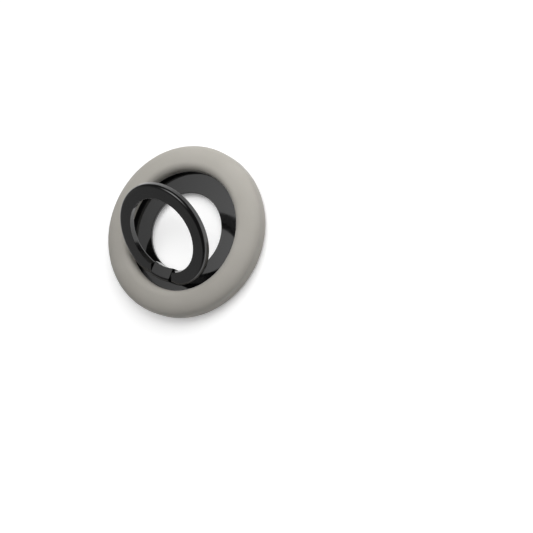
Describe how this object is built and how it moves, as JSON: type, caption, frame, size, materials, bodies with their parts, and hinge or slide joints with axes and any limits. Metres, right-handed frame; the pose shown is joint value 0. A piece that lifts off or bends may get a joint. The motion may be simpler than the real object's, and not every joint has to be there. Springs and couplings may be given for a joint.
{
  "type": "magnetic phone grip",
  "caption": "Round magnetic phone grip: soft donut sleeve around a black metal tray with a centre hole and a folding finger ring on a friction hinge.",
  "frame": {"origin": "centre of the contact face, which meets the phone and rests on a surface", "axes": "+Z along the grip's axis away from the contact face, +Y from the hinge towards the ring's free end, +X along the hinge axis"},
  "size_m": [0.056, 0.056, 0.0251],
  "materials": {
    "sleeve_silicone": "matte taupe grey soft-touch silicone",
    "black_metal": "smooth semi-gloss black coating",
    "core_plastic": "dark moulded plastic",
    "pad_rubber": "matte black soft pad",
    "magnet": "nickel plated",
    "steel": "plain steel",
    "dark_steel": "blackened steel"
  },
  "bodies": {
    "grip": {"base_cover": "core_plastic", "base_screws": "dark_steel", "contact_pad": "pad_rubber", "core_ring": "core_plastic", "left_spring_washer": "dark_steel", "magnet_01": "magnet", "magnet_02": "magnet", "magnet_03": "magnet", "magnet_04": "magnet", "magnet_05": "magnet", "magnet_06": "magnet", "magnet_07": "magnet", "magnet_08": "magnet", "magnet_09": "magnet", "magnet_10": "magnet", "magnet_11": "magnet", "magnet_12": "magnet", "magnet_13": "magnet", "magnet_14": "magnet", "magnet_15": "magnet", "magnet_16": "magnet", "right_spring_washer": "dark_steel", "shunt_ring": "steel", "silicone_sleeve": "sleeve_silicone", "tray": "black_metal"},
    "ring": {"finger_ring": "black_metal", "hinge_pin": "dark_steel"}
  },
  "joints": [
    {"name": "ring_hinge", "type": "hinge", "parent": "grip", "child": "ring", "pos_m": [0, -0.01496, 0.00505], "axis": [1, 0, 0], "range_deg": [-37.7, 70.3]}
  ]
}
